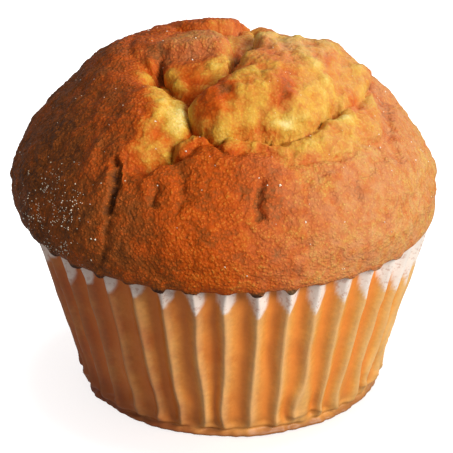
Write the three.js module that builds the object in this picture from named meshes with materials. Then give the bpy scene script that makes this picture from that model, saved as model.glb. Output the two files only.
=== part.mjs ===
// A corn muffin baked in a pleated paper cup.
// Millimetres, +Z up. The origin is the centre of the flat bottom that it stands on; -Y is its front.
import * as THREE from "three";

// The paper cup. Its wall leans outwards from the flat bottom to the rim, in sharp-crested pleats.
const BASE_RADIUS = 25;
const BASE_CHAMFER = 0.8; // the soft bend between the bottom and the wall
const RIM_RADIUS = 34; // at the pleats' crests
const RIM_HEIGHT = 31;
const PLEATS = 40;
const PLEAT_DEPTH = 2.3; // crest to valley at the rim, and nothing at the bottom
const PAPER_THICKNESS = 0.35; // measured along a radius
const CREST_TURN = THREE.MathUtils.degToRad(-1.6); // how far one crest lies from the front

// The muffin. Below the rim it fills the cup, and above it a domed crust leans out over the paper.
const GAP = 0.3; // between the crumb and the paper
const UNFILLED = 0.75; // share of a pleat's depth that the crumb leaves empty at the rim
const FILLED_HEIGHT = 17; // up to here the crumb fills the pleats
const LIP_OVERHANG = 0.4; // crust past the crests where it meets the rim
const LIP_LEAN = 0.8; // how much further it comes on the left, and how much less on the right
const LIP_ROUNDING = { out: 0.75, up: 0.4 }; // where the crust's lower bend lies, from lip to widest
const DOME_RADIUS = 35.6;
const DOME_LEAN = 1.2; // the same as LIP_LEAN, for the dome at its widest
const WIDEST_HEIGHT = 36; // where the dome is widest
const DOME_RISE = 23.6; // from there to the top of the plain dome
const DOME_FULLNESS = 1.76; // the exponent of its superellipse; 2 is an ellipse
const FULLNESS_LEAN = 0.08; // the left side is fuller and the right side slacker

// The risen lumps of crumb, seen from above: centre, reach along X and Y, and rise.
const LUMPS = [
  { x: 6, y: -13, reachX: 11, reachY: 8, rise: 2.2 }, // the big central lump
  { x: -8, y: -3, reachX: 8, reachY: 6, rise: 1.6 }, // the torn plate behind it, on the left
  { x: -5, y: 11, reachX: 10, reachY: 7, rise: 2.4 }, // the highest crust, at the back
  { x: -17, y: 5, reachX: 8, reachY: 14, rise: 2.2 }, // the smooth left plate
  { x: 15, y: 12, reachX: 9, reachY: 9, rise: 0.6 }, // the plate at the back right
];

// The splits between them: the points that each runs through, its half width and its depth.
const SPLITS = [
  { halfWidth: 2.4, depth: 3.2, through: [[-13, -5], [-10, -11], [-6.5, -16], [-6, -23]] },
  { halfWidth: 2.4, depth: 2.6, through: [[-6, -23], [1, -24.5], [8, -24], [15, -19], [21, -10]] },
  { halfWidth: 2.4, depth: 2.4, through: [[-1, -9], [-1, 0], [3, 5]] },
  { halfWidth: 2.4, depth: 2.2, through: [[-16, 7], [-8, 5], [-1, 3]] },
  { halfWidth: 2.4, depth: 2.0, through: [[-6, -23], [-12, -26], [-19, -27]] },
  { halfWidth: 2.4, depth: 1.2, through: [[3, 5], [9, 8], [12, 20]] },
];

// How finely both solids are drawn.
const STEPS_PER_PLEAT = 4;
const AROUND = PLEATS * STEPS_PER_PLEAT;
const WALL_ROWS = 5;
const DOME_ROWS = 20;
const COARSER_FROM = [0.5, 0.8]; // shares of the dome's rows after which every other step is left out

const lerp = THREE.MathUtils.lerp;

function angleOf(step) {
  return -Math.PI / 2 + CREST_TURN + (2 * Math.PI * step) / AROUND;
}

// 0 on a pleat's crest and 1 in its valley: a sharp crest between rounded valleys.
function valleyShare(step) {
  return Math.abs(Math.sin((Math.PI * step) / STEPS_PER_PLEAT));
}

// Radius of the paper's outer face.
function paperRadius(step, z) {
  const share = z / RIM_HEIGHT;
  return lerp(BASE_RADIUS, RIM_RADIUS, share) - PLEAT_DEPTH * share * valleyShare(step);
}

// Radius of the crumb's side inside the cup. It stops short of the crests near the rim.
function crumbRadius(step, z) {
  const share = z / RIM_HEIGHT;
  const empty = UNFILLED * THREE.MathUtils.smoothstep(z, FILLED_HEIGHT, RIM_HEIGHT);
  const crestLoss = empty * PLEAT_DEPTH * share * (1 - valleyShare(step));
  return paperRadius(step, z) - PAPER_THICKNESS - GAP - crestLoss;
}

// Distance from a point to a path of straight stretches, all seen from above.
function distanceTo(path, x, y) {
  let nearest = Infinity;
  for (let i = 1; i < path.length; i++) {
    const [ax, ay] = path[i - 1];
    const [bx, by] = path[i];
    const along = ((x - ax) * (bx - ax) + (y - ay) * (by - ay)) / ((bx - ax) ** 2 + (by - ay) ** 2);
    const t = THREE.MathUtils.clamp(along, 0, 1);
    nearest = Math.min(nearest, Math.hypot(x - lerp(ax, bx, t), y - lerp(ay, by, t)));
  }
  return nearest;
}

// How far the crust stands above the plain dome at a place seen from above.
function crustRise(x, y) {
  let rise = 0;
  for (const lump of LUMPS) {
    const away = ((x - lump.x) / lump.reachX) ** 2 + ((y - lump.y) / lump.reachY) ** 2;
    rise += lump.rise * Math.exp(-away);
  }
  for (const split of SPLITS) {
    const away = distanceTo(split.through, x, y) / split.halfWidth;
    rise -= split.depth * Math.exp(-away * away);
  }
  return rise;
}

// A point of the dome: share 0 is its widest ring and 1 its top.
function domePoint(step, share) {
  const angle = angleOf(step);
  const tilt = (share * Math.PI) / 2;
  const widest = DOME_RADIUS - DOME_LEAN * Math.cos(angle);
  const power = 2 / (DOME_FULLNESS - FULLNESS_LEAN * Math.cos(angle));
  const radius = widest * Math.cos(tilt) ** power;
  const z = WIDEST_HEIGHT + DOME_RISE * Math.sin(tilt) ** power;
  const rise = crustRise(radius * Math.cos(angle), radius * Math.sin(angle)) * Math.sin(tilt);
  return { radius, z: z + rise };
}

// One ring of a solid: a point at each step round the axis, or at every second or fourth step.
function ring(placeAt, stride = 1) {
  return Array.from({ length: AROUND / stride }, (_, i) => {
    const { radius, z } = placeAt(i * stride);
    const angle = angleOf(i * stride);
    return new THREE.Vector3(radius * Math.cos(angle), radius * Math.sin(angle), z);
  });
}

// The faces between a ring and the next, which has as many points or half as many.
function band(firstStart, first, nextStart, next) {
  const faces = [];
  const onFirst = (i) => firstStart + (i % first.length);
  const onNext = (i) => nextStart + (i % next.length);
  const stride = first.length / next.length;
  for (let i = 0; i < next.length; i++) {
    const j = i * stride;
    if (stride === 2) faces.push(onFirst(j), onFirst(j + 1), onNext(i));
    faces.push(onFirst(j + stride - 1), onFirst(j + stride), onNext(i + 1));
    faces.push(onFirst(j + stride - 1), onNext(i + 1), onNext(i));
  }
  return faces;
}

// A closed solid from rings, listed from the middle of its underside, round its outside, to the
// middle of its upper side. Both middles are single points on the axis.
function solidOf(firstHeight, rings, lastHeight) {
  const points = [new THREE.Vector3(0, 0, firstHeight), ...rings.flat()];
  const last = points.push(new THREE.Vector3(0, 0, lastHeight)) - 1;
  const faces = [];
  let start = 1;
  rings[0].forEach((_, i, all) => faces.push(0, start + ((i + 1) % all.length), start + i));
  for (let row = 1; row < rings.length; row++) {
    const nextStart = start + rings[row - 1].length;
    faces.push(...band(start, rings[row - 1], nextStart, rings[row]));
    start = nextStart;
  }
  rings.at(-1).forEach((_, i, all) => faces.push(start + i, start + ((i + 1) % all.length), last));
  const geometry = new THREE.BufferGeometry().setFromPoints(points);
  geometry.setIndex(faces);
  geometry.computeVertexNormals();
  return geometry;
}

// The cup: one sheet of paper, its bottom, its pleated wall and its open mouth.
function paperCup() {
  const foot = { radius: BASE_RADIUS - BASE_CHAMFER, z: 0 };
  const heights = Array.from({ length: WALL_ROWS + 1 }, (_, row) =>
    lerp(BASE_CHAMFER, RIM_HEIGHT, row / WALL_ROWS),
  );
  const outside = heights.map((z) => ring((step) => ({ radius: paperRadius(step, z), z })));
  const inside = heights
    .slice(1)
    .reverse()
    .map((z) => ring((step) => ({ radius: paperRadius(step, z) - PAPER_THICKNESS, z })));
  const insideFoot = ring(() => ({ radius: foot.radius - PAPER_THICKNESS, z: PAPER_THICKNESS }));
  const insideBend = ring((step) => ({
    radius: paperRadius(step, BASE_CHAMFER) - PAPER_THICKNESS,
    z: BASE_CHAMFER + PAPER_THICKNESS / 2,
  }));
  return solidOf(
    0,
    [ring(() => foot), ...outside, ...inside, insideBend, insideFoot],
    PAPER_THICKNESS,
  );
}

// The muffin, in one piece: the crumb moulded by the cup, and the cracked dome above it.
function muffin() {
  const floor = PAPER_THICKNESS + GAP;
  const top = RIM_HEIGHT + GAP; // the crust comes no lower than this outside the cup's mouth
  const foot = ring(() => ({ radius: BASE_RADIUS - BASE_CHAMFER - PAPER_THICKNESS - GAP, z: floor }));
  const side = Array.from({ length: WALL_ROWS + 1 }, (_, row) => {
    const z = lerp(floor + BASE_CHAMFER, top, row / WALL_ROWS);
    return ring((step) => ({ radius: crumbRadius(step, Math.min(z, RIM_HEIGHT)), z }));
  });
  const lipRadius = (step) => RIM_RADIUS + LIP_OVERHANG - LIP_LEAN * Math.cos(angleOf(step));
  const lip = ring((step) => ({ radius: lipRadius(step), z: top }));
  const bulge = ring((step) => ({
    radius: lerp(lipRadius(step), domePoint(step, 0).radius, LIP_ROUNDING.out),
    z: lerp(top, WIDEST_HEIGHT, LIP_ROUNDING.up),
  }));
  const dome = Array.from({ length: DOME_ROWS }, (_, row) => {
    const share = row / DOME_ROWS;
    const stride = 2 ** COARSER_FROM.filter((from) => share >= from).length;
    return ring((step) => domePoint(step, share), stride);
  });
  const peak = WIDEST_HEIGHT + DOME_RISE + crustRise(0, 0);
  return solidOf(floor, [foot, ...side, lip, bulge, ...dome], peak);
}

function named(name, geometry, finish) {
  const mesh = new THREE.Mesh(geometry, new THREE.MeshStandardMaterial(finish));
  mesh.name = name;
  return mesh;
}

const BAKED_CRUST = { color: 0xd08a3c, roughness: 0.8, metalness: 0 };
const GREASED_PAPER = { color: 0xd9a05a, roughness: 0.5, metalness: 0 };

const cornMuffin = new THREE.Group();
cornMuffin.add(named("muffin", muffin(), BAKED_CRUST));
cornMuffin.add(named("paper_cup", paperCup(), GREASED_PAPER));

export default cornMuffin;
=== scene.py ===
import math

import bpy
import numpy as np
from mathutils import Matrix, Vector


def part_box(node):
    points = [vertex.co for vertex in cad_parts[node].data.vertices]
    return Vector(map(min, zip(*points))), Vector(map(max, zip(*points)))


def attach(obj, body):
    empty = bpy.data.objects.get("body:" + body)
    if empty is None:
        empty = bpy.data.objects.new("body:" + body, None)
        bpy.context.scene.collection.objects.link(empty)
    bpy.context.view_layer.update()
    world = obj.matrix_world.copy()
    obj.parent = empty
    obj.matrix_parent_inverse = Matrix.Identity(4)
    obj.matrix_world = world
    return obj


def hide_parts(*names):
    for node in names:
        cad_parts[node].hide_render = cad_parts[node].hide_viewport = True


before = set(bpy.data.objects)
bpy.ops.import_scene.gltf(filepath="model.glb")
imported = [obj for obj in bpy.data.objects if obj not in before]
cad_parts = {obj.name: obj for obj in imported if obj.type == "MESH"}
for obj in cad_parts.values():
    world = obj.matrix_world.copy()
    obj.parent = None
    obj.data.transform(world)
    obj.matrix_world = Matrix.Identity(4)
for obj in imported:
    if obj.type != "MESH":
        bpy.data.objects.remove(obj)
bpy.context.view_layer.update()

# A corn muffin in the pleated paper cup that it was baked in, on a pale studio floor.
#
# Shapes are worked out in millimetres, +Z up, in the frame of the CAD model: the origin is the centre
# of the bottom that the muffin stands on, and -Y is its front.

MM = 0.001

# ---------------------------------------------------------------------------------------------------
# Sizes, from the CAD model where it has them
# ---------------------------------------------------------------------------------------------------

CUP_HIGH = np.array(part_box("paper_cup")[1]) / MM
MUFFIN_LOW, MUFFIN_HIGH = (np.array(corner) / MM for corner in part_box("muffin"))

RIM_RADIUS = CUP_HIGH[0]  # at the crests of the pleats
RIM_HEIGHT = CUP_HIGH[2]
BASE_RADIUS = 25.0
BASE_ROUNDING = 0.8
PLEATS = 40
PLEAT_DEPTH = 2.3  # crest to valley at the rim of the CAD cup
CREST_TURN = math.radians(-1.6)  # how far one crest lies from the front
PAPER_THICKNESS = 0.14  # two or three sheets of real paper, so that the edge of the rim still shows

DOME_RADIUS = (MUFFIN_HIGH[0] - MUFFIN_LOW[0]) / 2
DOME_LEAN = -(MUFFIN_HIGH[0] + MUFFIN_LOW[0]) / 2  # the dome bulges this much further on the left
WIDEST_HEIGHT = 36.0
DOME_RISE = 23.6
DOME_FULLNESS = 1.76  # exponent of the dome's superellipse
FULLNESS_LEAN = 0.08  # the left side is fuller and the right side slacker
SIDE_TUCK = 0.06  # how fast the side draws in below its widest ring, per mm squared
LIP_RADIUS = 34.2  # where the crust comes down onto the rim
LIP_LEAN = 0.3
LIP_HEIGHT = RIM_HEIGHT + 0.2
CRUMB_GAP = 0.5  # between the crumb and the paper
CRUMB_BOTTOM_RADIUS = BASE_RADIUS - BASE_ROUNDING - 0.6

SPACING = 0.34  # between neighbouring points of the crust
AROUND = PLEATS * 16  # points around the widest ring
CLOSEST = 0.58 * SPACING  # a ring with its points closer than this gets half as many
FEWEST = 20  # but no ring gets fewer points than this


# ---------------------------------------------------------------------------------------------------
# Roughness of baked things: seeded noise worked out on a lattice
# ---------------------------------------------------------------------------------------------------


SWELL_START = 37.3  # where on its lattice each noise starts, in cells, clear of the axis
GRAIN_START = 51.7
GRAIN_STEEPNESS = 1.4  # how steeply a grain rises out of its joints


def lattice_value(cell, seed):
    """A steady random number from 0 to 1 for each whole-number cell; the factors only stir its bits."""
    mixed = cell[..., 0] * 374761393 + cell[..., 1] * 668265263 + cell[..., 2] * 1440662683
    mixed = (mixed + seed * 3266489917) & 0xFFFFFFFF
    mixed = ((mixed ^ (mixed >> 13)) * 1274126177) & 0xFFFFFFFF
    mixed = ((mixed ^ (mixed >> 16)) * 974711) & 0xFFFFFFFF
    return ((mixed ^ (mixed >> 15)) & 0xFFFFFF) / 0xFFFFFF


def swell(points, size, seed):
    """Smooth noise, from -1 to 1, with bumps `size` mm across."""
    place = points / size + SWELL_START
    cell = np.floor(place).astype(np.int64)
    part = place - cell
    part = part**3 * (part * (part * 6 - 15) + 10)  # eased, so that cells meet without a crease
    total = np.zeros(len(points))
    for corner in np.ndindex(2, 2, 2):
        weight = np.prod(np.where(corner, part, 1 - part), axis=-1)
        total += weight * lattice_value(cell + np.array(corner), seed)
    return 2 * total - 1


def layered(points, layers):
    """Several swells on top of each other, each with its height, its size and its seed."""
    total = np.zeros(len(points))
    for height, size, seed in layers:
        total = total + height * swell(points, size, seed)
    return total


def shift(points, size, seeds):
    """Smooth noise along each axis, with a seed for each: it pushes straight outlines out of true."""
    return np.stack([swell(points, size, seed) for seed in seeds], 1)


def grains(points, size, seed):
    """Packed grains `size` mm across: 1 on the top of each and 0 in the joints between them."""
    place = points / size + GRAIN_START
    cell = np.floor(place).astype(np.int64)
    nearest = np.full(len(points), np.inf)
    second = np.full(len(points), np.inf)
    for step in np.ndindex(3, 3, 3):
        other = cell + np.array(step) - 1
        middle = other + np.stack([lattice_value(other, seed + axis) for axis in range(3)], axis=-1)
        away = np.linalg.norm(place - middle, axis=-1)
        second = np.minimum(second, np.maximum(nearest, away))
        nearest = np.minimum(nearest, away)
    return np.sqrt(np.clip((second - nearest) * GRAIN_STEEPNESS, 0, 1))


def smooth_step(value, low, high):
    share = np.clip((value - low) / (high - low), 0, 1)
    return share * share * (3 - 2 * share)


def mix(first, second, share):
    return first + (second - first) * share


def spot(x, y, spot_x, spot_y, reach_x, reach_y):
    """A soft oval spot: 1 in its middle, fading to 0 over its reach along x and y."""
    return np.exp(-(((x - spot_x) / reach_x) ** 2) - ((y - spot_y) / reach_y) ** 2)


# ---------------------------------------------------------------------------------------------------
# Outlines seen from above, and paths on the crust
# ---------------------------------------------------------------------------------------------------


def depth_inside(outline, x, y):
    """How far each place lies inside a closed outline, in mm; negative outside it."""
    nearest = np.full(x.shape, np.inf)
    inside = np.zeros(x.shape, bool)
    for (ax, ay), (bx, by) in zip(outline, outline[1:] + outline[:1]):
        length = (bx - ax) ** 2 + (by - ay) ** 2
        along = np.clip(((x - ax) * (bx - ax) + (y - ay) * (by - ay)) / length, 0, 1)
        nearest = np.minimum(nearest, np.hypot(x - mix(ax, bx, along), y - mix(ay, by, along)))
        if ay != by:
            crosses = (ay > y) != (by > y)
            inside ^= crosses & (x < ax + (y - ay) * (bx - ax) / (by - ay))
    return np.where(inside, nearest, -nearest)


def distance_to_path(path, points):
    """Distance in space from each point to a path of straight stretches."""
    nearest = np.full(len(points), np.inf)
    for start, end in zip(path[:-1], path[1:]):
        way = end - start
        along = np.clip((points - start) @ way / (way @ way), 0, 1)
        nearest = np.minimum(nearest, np.linalg.norm(points - start - along[:, None] * way, axis=1))
    return nearest


# ---------------------------------------------------------------------------------------------------
# Closed bodies made of rings of points round the Z axis
# ---------------------------------------------------------------------------------------------------


def ring_angles(count):
    """The angles of a ring's points, from the crest at the front on."""
    return -math.pi / 2 + CREST_TURN + 2 * math.pi * np.arange(count) / count


def place_at(radius, angle, height):
    """Points in space from their radius, their angle round the axis and their height."""
    return np.stack([radius * np.cos(angle), radius * np.sin(angle), height + 0 * angle], -1)


def band(start, count, next_start, next_count):
    """The faces between a ring and the next one, which has as many points, twice or half as many."""
    if next_count > count:
        return [face[::-1] for face in band(next_start, next_count, start, count)]
    i = np.arange(next_count)
    after = (i + 1) % next_count
    if count == next_count:
        return np.stack([start + i, start + after, next_start + after, next_start + i], 1).tolist()
    middle = start + 2 * i + 1
    corner = start + (2 * i + 2) % count
    faces = np.stack([start + 2 * i, middle, next_start + i], 1).tolist()
    faces += np.stack([middle, corner, next_start + after, next_start + i], 1).tolist()
    return faces


def rings_to_faces(counts):
    """Faces of a closed body: first point, then rings with these many points, then last point."""
    faces = []
    start = 1
    for i in range(counts[0]):
        faces.append([0, start + (i + 1) % counts[0], start + i])
    for count, next_count in zip(counts[:-1], counts[1:]):
        faces += band(start, count, start + count, next_count)
        start += count
    last = start + counts[-1]
    for i in range(counts[-1]):
        faces.append([start + i, start + (i + 1) % counts[-1], last])
    return faces


def outward(points, faces):
    """The direction that the surface faces at each point."""
    total = np.zeros_like(points)
    for size in (3, 4):
        some = np.array([face for face in faces if len(face) == size])
        corners = points[some]
        facing = np.cross(corners[:, 2] - corners[:, 0], corners[:, -1] - corners[:, 1])
        for corner in range(size):
            np.add.at(total, some[:, corner], facing)
    return total / np.maximum(np.linalg.norm(total, axis=1), 1e-9)[:, None]


def relax(points, faces, share):
    """Each point moved part of the way to the middle of its neighbours."""
    total = np.zeros_like(points)
    number = np.zeros(len(points))
    for size in (3, 4):
        some = np.array([face for face in faces if len(face) == size])
        for corner in range(size):
            a, b = some[:, corner], some[:, (corner + 1) % size]
            np.add.at(total, a, points[b])
            np.add.at(number, a, 1)
    return mix(points, total / number[:, None], share)


def make_piece(name, points, faces, finish, fields):
    """A Blender mesh piece from points in mm, with one number for each point in each field."""
    mesh = bpy.data.meshes.new(name)
    mesh.from_pydata((points * MM).tolist(), [], faces)
    mesh.polygons.foreach_set("use_smooth", [True] * len(mesh.polygons))
    for field, values in fields.items():
        attribute = mesh.attributes.new(field, "FLOAT", "POINT")
        attribute.data.foreach_set("value", np.asarray(values, np.float32))
    mesh.materials.append(finish)
    mesh.update()
    piece = bpy.data.objects.new(name, mesh)
    bpy.context.scene.collection.objects.link(piece)
    return piece


# ---------------------------------------------------------------------------------------------------
# The pleats, and the plain dome before it cracks
# ---------------------------------------------------------------------------------------------------


MID_WALL = 30.0  # radius at which the unevenness of the cup's wall is worked out
FOLD_LEAN = 0.08  # how far the folds lean over to one side, in pleats
CREST_BLUNTNESS = 0.03  # 0 would be a knife-sharp crest


def upright(around, squash):
    """Places squashed in height, so that noise worked out on them runs up and down the pleats."""
    return around * [1, 1, squash]


def straight_phase(angle):
    """Whole numbers on the crests of evenly spaced pleats."""
    return (angle - ring_angles(1)[0]) / (2 * math.pi) * PLEATS


def pleat_phase(angle, height):
    """Whole numbers on the pleats' crests, which wander a little and most of all near the base."""
    around = place_at(MID_WALL, angle, height)
    low = 1 - smooth_step(height, 4, 16)
    drift = (0.05 + 0.20 * low) * swell(upright(around, 0.6), 4.2, 71)
    drift = drift + 0.03 * swell(upright(around, 0.5), 1.8, 72)
    return straight_phase(angle) + drift


def pleat_value(pleat, seed):
    """A steady random number from 0 to 1 for each pleat."""
    return lattice_value(np.stack([pleat % PLEATS, pleat * 0, pleat * 0], -1), seed)


def valley_share(phase):
    """0 on a pleat's crest and 1 in its valley: a crease-like crest between rounded valleys."""
    phase = phase - FOLD_LEAN * np.sin(math.pi * phase) ** 2
    raised = np.sqrt(np.sin(math.pi * phase) ** 2 + CREST_BLUNTNESS**2) - CREST_BLUNTNESS
    return raised / (math.sqrt(1 + CREST_BLUNTNESS**2) - CREST_BLUNTNESS)


def dome_radius(angle, height):
    """Radius of the plain dome at a height above its widest ring."""
    widest = DOME_RADIUS - DOME_LEAN * np.cos(angle)
    power = DOME_FULLNESS - FULLNESS_LEAN * np.cos(angle)
    share = np.clip((height - WIDEST_HEIGHT) / DOME_RISE, 0, 1)
    return widest * (1 - share**power) ** (1 / power)


def dome_place(angle, tilt):
    """A point of the plain dome: tilt 0 is the widest ring and a quarter turn is the top."""
    widest = DOME_RADIUS - DOME_LEAN * np.cos(angle)
    power = 2 / (DOME_FULLNESS - FULLNESS_LEAN * np.cos(angle))
    radius = widest * np.cos(tilt) ** power
    return radius, WIDEST_HEIGHT + DOME_RISE * np.sin(tilt) ** power


def on_dome(x, y):
    """The place on the plain dome that lies at x, y seen from above."""
    angle = math.atan2(y, x)
    widest = DOME_RADIUS - DOME_LEAN * math.cos(angle)
    power = DOME_FULLNESS - FULLNESS_LEAN * math.cos(angle)
    share = min(math.hypot(x, y) / widest, 1)
    return np.array([x, y, WIDEST_HEIGHT + DOME_RISE * (1 - share**power) ** (1 / power)])


def on_side(turn, height):
    """The place on the dome's side, that many degrees to the right of the front, at a height."""
    angle = math.radians(turn - 90)
    if height > WIDEST_HEIGHT:
        radius = float(dome_radius(angle, height))
    else:
        radius = DOME_RADIUS - DOME_LEAN * math.cos(angle) - SIDE_TUCK * (WIDEST_HEIGHT - height) ** 2
    return np.array([radius * math.cos(angle), radius * math.sin(angle), height])


# ---------------------------------------------------------------------------------------------------
# How the top burst as it rose
# ---------------------------------------------------------------------------------------------------

# Each lump is what lies at the top inside an outline seen from above. `ridge` says how far it stands
# above the plain dome at places along Y, from its front to its back, and `crown` how far it rounds down
# towards its outline, over `reach` mm. `swells` are soft rises of it: x, y, reach along x and y, height.
# Lumps of one `set` merge; others meet in a crack.
LUMPS = [
    {
        "set": "crust",  # the dark plate on the left, bending down into the big crack
        "outline": [
            (-60, 60), (-13, 60), (-14, 18), (-14.4, 12), (-14.5, 5), (-14.3, 0), (-13.4, -5), (-12.3, -7.6),
            (-10.2, -10.2), (-8.8, -10.9), (-7.2, -13.4), (-7.3, -17), (-7.5, -19.4), (-8.3, -21.2),
            (-10.2, -23), (-13.5, -24.4), (-17, -26.5), (-20, -33), (-30, -60), (-60, -60),
        ],
        "ridge": [(-30, 0.0), (30, 0.0)], "crown": 3.6, "reach": 8.0,
        "swells": [(-16, 9, 7, 13, 2.6), (-14, -14, 6, 8, 0.9), (-27, -8, 7, 16, -0.7),
                   (-14.5, 12, 2.5, 9, 1.3)],
    },
    {
        "set": "crust",  # the plate across the front, and the one on the right
        "outline": [
            (-23, -24.5), (-20.5, -22.8), (-18.2, -22.8), (-16.2, -24), (-13.5, -24.9), (-10, -25.1),
            (-8, -24.1), (-6.4, -22.5), (-4, -22.1), (-2, -22.7), (0, -23.9), (2.4, -23.3), (5, -23.3),
            (7, -24.3), (10, -24), (13, -22.9), (16, -20.9), (19, -18), (22, -14.6), (25.2, -11.4),
            (25.4, -5), (24.4, 1), (22, 8.4), (16, 14.5), (11, 19), (5, 23), (3, 60), (60, 60),
            (60, -60), (-60, -60),
        ],
        "ridge": [(-32, 0.0), (-20, 0.2), (0, 0.0)], "crown": 0.9, "reach": 2.2,
        "swells": [(31, -8, 7, 18, -0.8), (22, 6, 4, 7, 0.9)],
    },
    {
        "set": "crust",  # the bridge of crust behind the left end of the tongue
        "outline": [(-18, 18), (-9, 18), (-8.6, 9), (-10, 4), (-11.6, 0.4), (-13.2, -1.6), (-16, 0)],
        "ridge": [(-2, 0.2), (5, 1.6), (14, 1.8)], "crown": 1.4, "reach": 2.6,
    },
    {
        "set": "crust",  # the crust that stands highest, across the back
        "outline": [
            (-12, 60), (-13.2, 22), (-13.4, 14), (-12, 11.6), (-9, 10.6), (-5, 10), (-1, 10.6),
            (1.2, 11), (2, 16), (3.6, 22), (5, 60),
        ],
        "ridge": [(8, 2.1), (13, 2.0), (22, 1.2), (32, 0.2)], "crown": 1.6, "reach": 3.0,
    },
    {
        "set": "crust",  # the torn tongue of crust in front of it, still joined on the left
        "outline": [
            (-19, 14), (-18, 5), (-15, 2.4), (-12, 1.4), (-9, 0.2), (-5.4, -0.6), (-2.4, -0.4), (-0.6, 1),
            (-0.9, 2.6), (-2.6, 5), (-5, 7.6), (-9, 10),
        ],
        "ridge": [(-2, 1.1), (2, 1.3), (10, 1.0)], "crown": 0.4, "reach": 0.9,
    },
    {
        "set": "crust",  # the crumb below the tongue, falling away to the front
        "outline": [
            (-11.8, 3), (-11.2, 0), (-10.4, -3.5), (-9.8, -6.4), (-9.1, -9.4), (-7.6, -12), (-6.5, -13.6),
            (-5.3, -11.9), (-3, -9.8), (-1, -7.7), (-0.6, -4), (-0.8, -1), (-1.6, 3),
        ],
        "ridge": [(-14, -3.2), (-9, -2.2), (-5, -1.5), (-1, -1.0), (3, -0.8)], "crown": 0.8, "reach": 1.5,
    },
    {
        "set": "loaf",  # the big yellow lump in the middle
        "outline": [
            (-6.4, -14), (-5, -11.8), (-2.6, -9.8), (-0.4, -7.2), (0.7, -4.6), (2, -2.2), (4.2, 0.4),
            (4.6, 4), (3.8, 9), (2.2, 14), (3, 20), (8, 20), (13, 15.5), (17.2, 9.5), (19.3, 4),
            (19.8, -1), (19.2, -5), (18.3, -8.2), (16, -11.6), (14.6, -13.6), (13.6, -16.6), (11, -19),
            (8.6, -20.7), (5, -20.6), (1, -20.5), (-3, -21), (-5.6, -20.1), (-6.9, -18.6), (-6.9, -16),
        ],
        "ridge": [(-20, 1.6), (-10, 1.9), (2, 1.2), (14, 0.6)], "crown": 4.2, "reach": 8.0,
        "swells": [(16, 6, 5, 6, 2.2), (9, 9, 3.5, 6, -0.5), (4, 14, 3, 6, 1.2), (-3, -15, 2.5, 3, 0.4),
                   (11, -14, 3, 2.5, 0.5), (7, -8, 3, 1.6, -0.5), (4, -3, 2.4, 2.4, 0.4),
                   (5, 4, 2.6, 5, 2.2)],
    },
    {
        "set": "loaf",  # its lower right shoulder
        "outline": [(16, -8), (19.4, -9.5), (22, -7), (23, -1), (21.8, 5), (18.5, 11), (14, 10), (14, 0)],
        "ridge": [(-10, -0.1), (-3, 0.4), (4, 2.0), (10, 2.4)], "crown": 0.9, "reach": 2.4,
    },
    {
        "set": "crumb",  # the crumb behind the tongue, sloping down into the crack
        "outline": [(-3, 8), (-1.4, 4), (0.4, 1.4), (3.4, 2.4), (5, 7), (4.4, 13), (0, 12.4)],
        "ridge": [(1, -3.0), (5, -1.9), (9, -0.8), (12, 0.2)], "crown": 0.6, "reach": 1.5,
    },
    {
        "set": "crumb",  # the ledge of crumb under the lump
        "outline": [
            (-2.2, -21.8), (0, -21.1), (2.5, -21.3), (4.6, -21), (6.5, -22.1), (9.5, -21.6), (11, -25),
            (-3, -25),
        ],
        "ridge": [(-25, -0.5), (-21, -0.5)], "crown": 0.8, "reach": 1.5,
    },
    {
        "set": "crumb",  # the small ledge to its left
        "outline": [(-8.6, -21.6), (-7, -20.4), (-5.6, -20.7), (-3.4, -21.8), (-3, -24.5), (-8.6, -24.5)],
        "ridge": [(-25, -0.5), (-20, -0.5)], "crown": 0.8, "reach": 1.4,
    },
    {
        "set": "crumb",  # the open crumb on the right
        "outline": [
            (9.5, -21.4), (11.4, -19.3), (13.9, -17), (15.4, -13.9), (18.5, -11.4), (19.4, -8),
            (20.8, -5), (22.4, 0), (22.4, 8), (28, 8), (28, -12), (22, -20), (12, -27), (8, -25),
        ],
        "ridge": [(-25, -0.5), (-15, -0.6), (6, -0.2)], "crown": 0.9, "reach": 1.6,
    },
    {
        "set": "crumb",  # the first of two torn steps in it
        "outline": [(15.2, -14.9), (18, -12.6), (21, -9.4), (23, -10.6), (21.6, -13), (18, -16)],
        "ridge": [(-16, -0.1), (-9, -0.1)], "crown": 0.8, "reach": 1.3,
    },
    {
        "set": "crumb",  # the second of them
        "outline": [(11.2, -20.8), (14.4, -18.4), (17.6, -16.8), (18, -18.2), (14.8, -21), (12, -22.4)],
        "ridge": [(-22, -0.3), (-16, -0.3)], "crown": 0.7, "reach": 1.2,
    },
]
FLOOR_TOP = -3.6  # the crumb at the bottom of the cracks
FLOOR_SWELL = 0.8
WALL_SLOPE = 2.6  # how steeply a lump's side falls outside its outline
CRACK_DEPTH = 1.3  # cut along the line where two sets meet
CRACK_WIDTH = 0.9
BROAD_TEAR = 1.0  # how far the outlines are pushed out of true, first in wide curves, then in short ones
SHORT_TEAR = 0.26

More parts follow.
